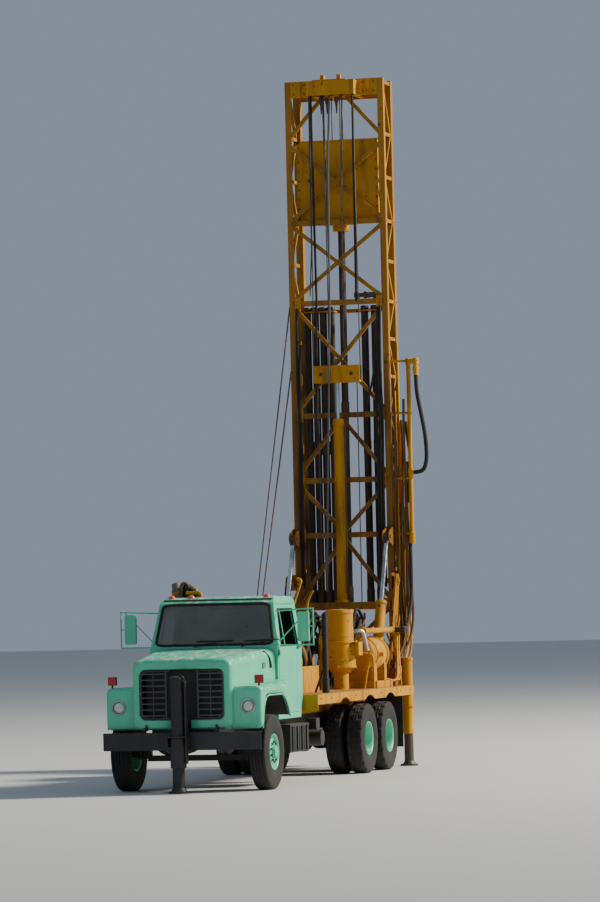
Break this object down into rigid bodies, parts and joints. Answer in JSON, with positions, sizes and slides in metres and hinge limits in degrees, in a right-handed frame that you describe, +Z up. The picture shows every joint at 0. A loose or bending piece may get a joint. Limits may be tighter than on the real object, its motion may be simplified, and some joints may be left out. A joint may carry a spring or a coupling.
{
  "type": "truck mounted borehole drilling rig",
  "caption": "Truck with a hooded cab and a raised box mast, drill head, feed cylinder, levelling jacks, air compressor and deck machinery for drilling boreholes.",
  "frame": {"origin": "middle of the ground under the machine, halfway between the bumper and the back of the mast", "axes": "+Z up the raised mast, -Y to the truck's front, +X to the driver's left hand side"},
  "size_m": [2.962, 10.457, 11.332],
  "materials": {
    "mint_paint": "worn satin",
    "yellow_paint": "dusty, rust worn",
    "black_paint": "matt",
    "dark_steel": "oiled, rust brown",
    "cast_metal": "oily",
    "pale_metal": "satin",
    "chrome_rod": "polished",
    "wire_rope": "greasy",
    "tyre_rubber": "matt",
    "hose_rubber": "matt",
    "cab_glazing": "clear",
    "lamp_lens": "glossy",
    "seat_cover": "worn"
  },
  "bodies": {
    "truck": {"truck_springs": "black_paint", "front_axle": "black_paint", "drive_axles": "cast_metal", "chassis_frame": "black_paint", "front_bumper": "black_paint", "cab_shell": "mint_paint", "cab_glass": "cab_glazing", "bench_seat": "seat_cover", "dashboard": "mint_paint", "truck_engine": "cast_metal", "left_step_tank": "black_paint", "right_fuel_tank": "black_paint", "air_reservoir": "black_paint", "deck": "yellow_paint", "mud_flaps": "hose_rubber", "jack_tubes": "yellow_paint", "mast_stand": "yellow_paint", "mast_headrest": "yellow_paint", "deck_engine": "yellow_paint", "compressor": "yellow_paint", "air_cleaner": "yellow_paint", "air_receiver": "yellow_paint", "exhaust_stack": "black_paint", "air_line": "pale_metal", "oil_tank": "yellow_paint"},
    "hood": {"hood": "mint_paint", "grille": "black_paint", "lamps": "lamp_lens"},
    "left_door": {"left_door": "mint_paint"},
    "right_door": {"right_door": "mint_paint"},
    "left_knuckle": {"left_knuckle": "black_paint"},
    "right_knuckle": {"right_knuckle": "black_paint"},
    "front_left_wheel": {"front_left_wheel": "tyre_rubber"},
    "front_right_wheel": {"front_right_wheel": "tyre_rubber"},
    "mid_left_wheels": {"mid_left_wheels": "tyre_rubber"},
    "mid_right_wheels": {"mid_right_wheels": "tyre_rubber"},
    "rear_left_wheels": {"rear_left_wheels": "tyre_rubber"},
    "rear_right_wheels": {"rear_right_wheels": "tyre_rubber"},
    "front_jack_leg": {"front_jack_leg": "dark_steel"},
    "rear_left_jack_leg": {"rear_left_jack_leg": "dark_steel"},
    "rear_right_jack_leg": {"rear_right_jack_leg": "dark_steel"},
    "mast": {"mast_front_face": "yellow_paint", "mast_left_face": "yellow_paint", "mast_right_face": "yellow_paint", "crown": "yellow_paint", "drill_table": "yellow_paint", "rod_racks": "yellow_paint", "stored_rods": "dark_steel", "feed_cylinder": "yellow_paint", "standpipe": "yellow_paint", "rotary_hose": "hose_rubber", "mast_hoses": "hose_rubber", "mast_stays": "wire_rope", "hoist_ropes": "wire_rope"},
    "raise_barrels": {"raise_barrels": "yellow_paint"},
    "raise_rods": {"raise_rods": "chrome_rod"},
    "feed": {"feed_block": "yellow_paint"},
    "head": {"head_carriage": "yellow_paint", "rotary_head": "yellow_paint", "drill_pipe": "dark_steel"}
  },
  "joints": [
    {"name": "hood_tilt", "type": "hinge", "parent": "truck", "child": "hood", "pos_m": [0, -4.9015, 0.9], "axis": [1, 0, 0], "range_deg": [0, 55]},
    {"name": "left_door_swing", "type": "hinge", "parent": "truck", "child": "left_door", "pos_m": [0.985, -3.0985, 1.64], "axis": [0, 0, -1], "range_deg": [0, 70]},
    {"name": "right_door_swing", "type": "hinge", "parent": "truck", "child": "right_door", "pos_m": [-0.985, -3.0985, 1.64], "axis": [0, 0, 1], "range_deg": [0, 70]},
    {"name": "left_steer", "type": "hinge", "parent": "truck", "child": "left_knuckle", "pos_m": [0.8, -4.1015, 0.542], "axis": [0, 0, 1], "range_deg": [-28, 28]},
    {"name": "right_steer", "type": "hinge", "parent": "truck", "child": "right_knuckle", "pos_m": [-0.8, -4.1015, 0.542], "axis": [0, 0, 1], "range_deg": [-28, 28]},
    {"name": "front_left_wheel_spin", "type": "hinge", "parent": "left_knuckle", "child": "front_left_wheel", "pos_m": [1, -4.1015, 0.542], "axis": [1, 0, 0], "continuous": true},
    {"name": "front_right_wheel_spin", "type": "hinge", "parent": "right_knuckle", "child": "front_right_wheel", "pos_m": [-1, -4.1015, 0.542], "axis": [1, 0, 0], "continuous": true},
    {"name": "mid_left_wheels_spin", "type": "hinge", "parent": "truck", "child": "mid_left_wheels", "pos_m": [0.9, 1.3835, 0.542], "axis": [1, 0, 0], "continuous": true},
    {"name": "mid_right_wheels_spin", "type": "hinge", "parent": "truck", "child": "mid_right_wheels", "pos_m": [-0.9, 1.3835, 0.542], "axis": [1, 0, 0], "continuous": true},
    {"name": "rear_left_wheels_spin", "type": "hinge", "parent": "truck", "child": "rear_left_wheels", "pos_m": [0.9, 2.6975, 0.542], "axis": [1, 0, 0], "continuous": true},
    {"name": "rear_right_wheels_spin", "type": "hinge", "parent": "truck", "child": "rear_right_wheels", "pos_m": [-0.9, 2.6975, 0.542], "axis": [1, 0, 0], "continuous": true},
    {"name": "front_jack_slide", "type": "slide", "parent": "truck", "child": "front_jack_leg", "axis": [0, 0, 1], "range_m": [0, 0.25]},
    {"name": "rear_left_jack_slide", "type": "slide", "parent": "truck", "child": "rear_left_jack_leg", "axis": [0, 0, 1], "range_m": [0, 0.4]},
    {"name": "rear_right_jack_slide", "type": "slide", "parent": "truck", "child": "rear_right_jack_leg", "axis": [0, 0, 1], "range_m": [0, 0.4]},
    {"name": "mast_raise", "type": "hinge", "parent": "truck", "child": "mast", "pos_m": [0, 4.4485, 3], "axis": [1, 0, 0], "range_deg": [0, 90], "deforming": ["mast_hoses", "mast_stays"]},
    {"name": "raise_barrel_swing", "type": "hinge", "parent": "truck", "child": "raise_barrels", "pos_m": [0, 3.3485, 1.42], "axis": [1, 0, 0], "range_deg": [0, 9.11]},
    {"name": "raise_rod_slide", "type": "slide", "parent": "raise_barrels", "child": "raise_rods", "axis": [0, 0.3987, 0.9171], "range_m": [-0.981, 0]},
    {"name": "head_slide", "type": "slide", "parent": "mast", "child": "head", "axis": [0, 0, 1], "range_m": [-5.6, 0], "deforming": ["hoist_ropes"]},
    {"name": "feed_slide", "type": "slide", "parent": "mast", "child": "feed", "axis": [0, 0, 1], "range_m": [0, 2.801]}
  ],
  "couplings": [
    {"joint": "right_steer", "follows": "left_steer", "ratio": 1},
    {"joint": "raise_barrel_swing", "follows": "mast_raise", "ratio": 0.1011},
    {"joint": "raise_rod_slide", "follows": "mast_raise", "m_per_rad": -0.6239},
    {"joint": "feed_slide", "follows": "head_slide", "ratio": -0.5}
  ]
}
